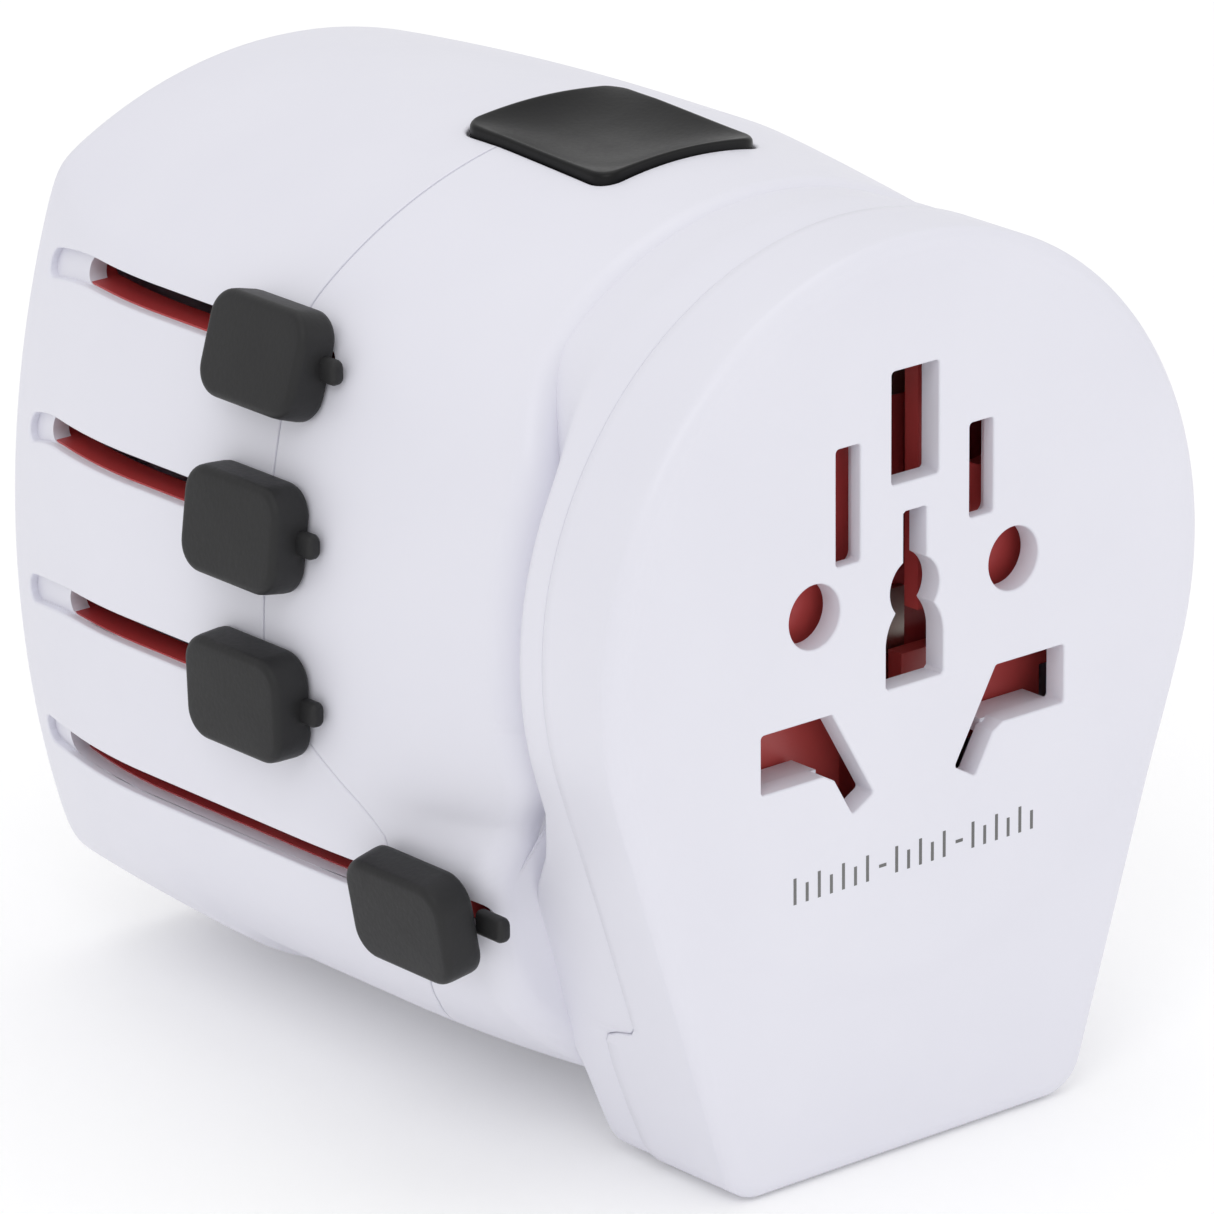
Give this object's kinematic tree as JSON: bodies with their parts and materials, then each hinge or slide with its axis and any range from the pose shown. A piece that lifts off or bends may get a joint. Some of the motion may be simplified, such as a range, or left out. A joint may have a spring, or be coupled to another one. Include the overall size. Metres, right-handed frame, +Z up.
{
  "type": "universal travel adapter",
  "caption": "Pocket travel adapter with a shuttered multi-standard socket at the front, sliding plug pins at the back, side thumb knobs and a release button on top.",
  "frame": {"origin": "on the front face, midway between the two round socket holes", "axes": "+X to the right seen from the socket, +Y back towards the plug pins, +Z up towards the release button"},
  "size_m": [0.064, 0.0742, 0.0711],
  "materials": {
    "casing": "satin",
    "inner_frame": "moulded",
    "red_plastic": "satin",
    "contact_metal": "stamped",
    "shutter_red": "semi-gloss",
    "spring_steel": "drawn wire",
    "button_black": "semi-gloss",
    "screw_steel": "zinc plated",
    "knob_black": "matte",
    "pin_metal": "nickel plated"
  },
  "bodies": {
    "case": {"socket_cover": "casing", "head_base": "casing", "front_shell": "casing", "rear_shell": "casing", "plug_face": "casing", "guide_frame": "inner_frame", "contact_block": "red_plastic", "live_contact": "contact_metal", "neutral_contact": "contact_metal", "earth_contact": "contact_metal", "live_busbar": "contact_metal", "neutral_busbar": "contact_metal", "earth_busbar": "contact_metal", "plug_face_screws": "screw_steel", "head_screws": "screw_steel"},
    "upper_gate": {"upper_shutter": "shutter_red", "upper_shutter_spring": "spring_steel"},
    "lower_gate": {"lower_shutter": "shutter_red", "lower_shutter_spring": "spring_steel"},
    "button": {"release_button": "button_black", "latch_bar": "inner_frame", "button_spring": "spring_steel"},
    "us_slider": {"us_carrier": "red_plastic", "us_blades": "pin_metal", "us_knob": "knob_black"},
    "eu_slider": {"eu_carrier": "red_plastic", "eu_pins": "pin_metal", "eu_knob": "knob_black"},
    "au_slider": {"au_carrier": "red_plastic", "au_blades": "pin_metal", "au_knob": "knob_black"},
    "uk_slider": {"uk_carrier": "red_plastic", "uk_line_pins": "pin_metal", "uk_earth_pin": "pin_metal", "uk_knob": "knob_black"}
  },
  "joints": [
    {"name": "us_slide", "type": "slide", "parent": "case", "child": "us_slider", "axis": [0, 1, 0], "range_m": [0, 0.0175]},
    {"name": "eu_slide", "type": "slide", "parent": "case", "child": "eu_slider", "axis": [0, 1, 0], "range_m": [0, 0.0193]},
    {"name": "au_slide", "type": "slide", "parent": "case", "child": "au_slider", "axis": [0, 1, 0], "range_m": [0, 0.0175]},
    {"name": "uk_slide", "type": "slide", "parent": "case", "child": "uk_slider", "axis": [0, 1, 0], "range_m": [0, 0.036]},
    {"name": "button_press", "type": "slide", "parent": "case", "child": "button", "axis": [0, 0, -1], "range_m": [0, 0.0016], "stiffness_N_per_m": 800, "springref_m": -0.001, "deforming": ["button_spring"]},
    {"name": "upper_shutter_slide", "type": "slide", "parent": "case", "child": "upper_gate", "axis": [0, 0, -1], "range_m": [0, 0.009], "stiffness_N_per_m": 150, "springref_m": -0.004, "deforming": ["upper_shutter_spring"]},
    {"name": "lower_shutter_slide", "type": "slide", "parent": "case", "child": "lower_gate", "axis": [0, 0, 1], "range_m": [0, 0.0074], "stiffness_N_per_m": 150, "springref_m": -0.004, "deforming": ["lower_shutter_spring"]}
  ]
}
